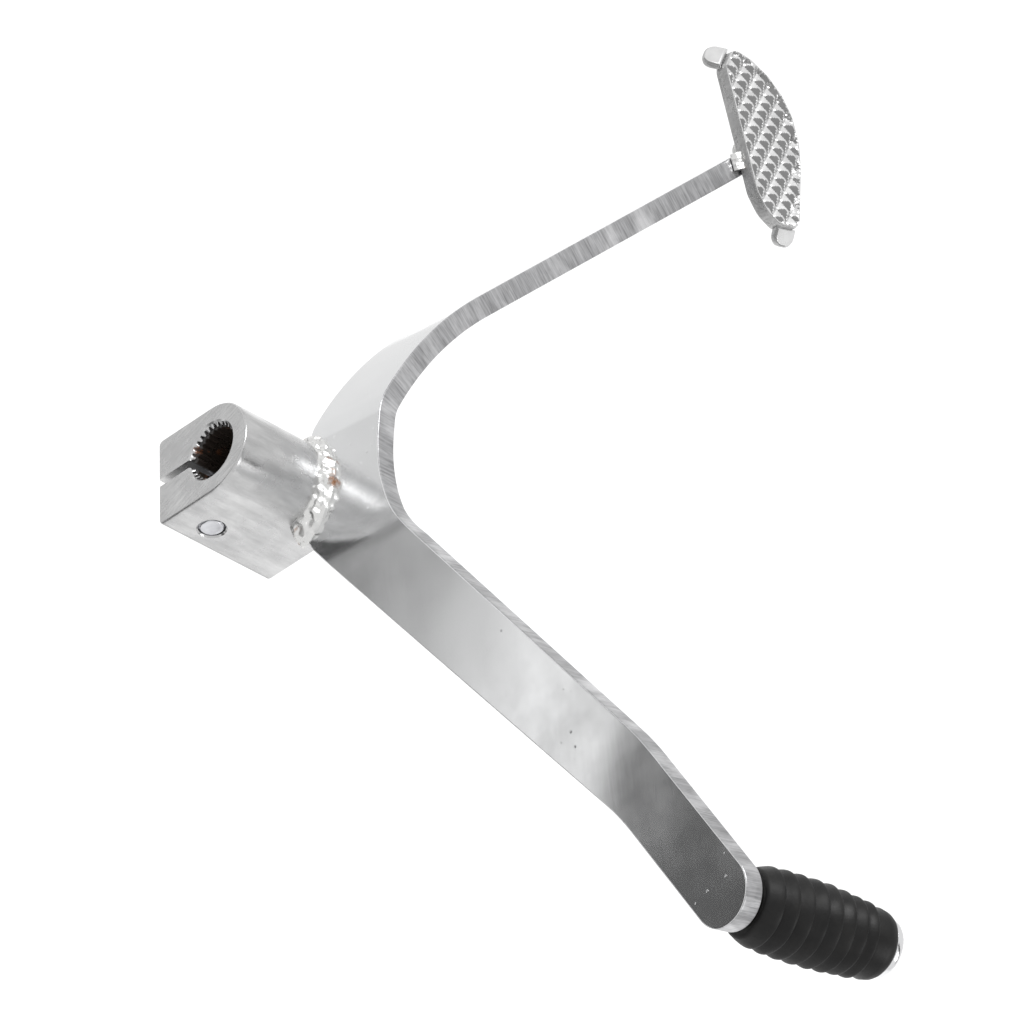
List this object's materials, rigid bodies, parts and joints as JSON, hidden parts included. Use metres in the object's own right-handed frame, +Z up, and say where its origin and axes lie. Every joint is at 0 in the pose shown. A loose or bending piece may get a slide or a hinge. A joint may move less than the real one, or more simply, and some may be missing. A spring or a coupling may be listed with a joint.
{
  "type": "gear shift lever",
  "caption": "Heel-and-toe motorcycle gear shift lever: splined clamp boss, bent flat-steel arm, ribbed rubber toe peg and studded heel pad.",
  "frame": {"origin": "on the shift shaft's axis at the clamp boss's engine-side face", "axes": "+Y outward along the shift shaft, away from the engine; +X forward towards the toe peg; +Z up, across the strip's width at the boss"},
  "size_m": [0.2887, 0.1447, 0.1455],
  "materials": {
    "boss_steel": "plated steel, ground end faces",
    "arm_chrome": "bright chrome plate on pressed strip",
    "peg_chrome": "bright plated pin",
    "pad_steel": "satin plated, raised tread",
    "zinc_steel": "zinc plated fastener",
    "weld": "lumpy plated weld metal with rust spots",
    "rubber": "matt black, ribbed"
  },
  "bodies": {
    "lever": {"clamp_boss": "boss_steel", "lever_arm": "arm_chrome", "boss_weld_front": "weld", "boss_weld_rear": "weld", "toe_peg": "peg_chrome", "toe_peg_weld": "weld", "toe_peg_rubber": "rubber", "heel_pad": "pad_steel", "heel_pad_weld_inner": "weld", "heel_pad_weld_left": "weld", "heel_pad_weld_right": "weld"},
    "washer": {"spring_washer": "zinc_steel"},
    "bolt": {"pinch_bolt": "zinc_steel"}
  },
  "joints": [
    {"name": "bolt_travel", "type": "slide", "parent": "lever", "child": "washer", "axis": [-0.9921, 0, -0.1253], "range_m": [0, 0.011]},
    {"name": "bolt_turn", "type": "hinge", "parent": "washer", "child": "bolt", "pos_m": [0.00129, 0.0095, -0.01022], "axis": [-0.9921, 0, -0.1253], "range_deg": [0, 3960]}
  ],
  "couplings": [
    {"joint": "bolt_turn", "follows": "bolt_travel", "rad_per_m": 6283.2}
  ]
}
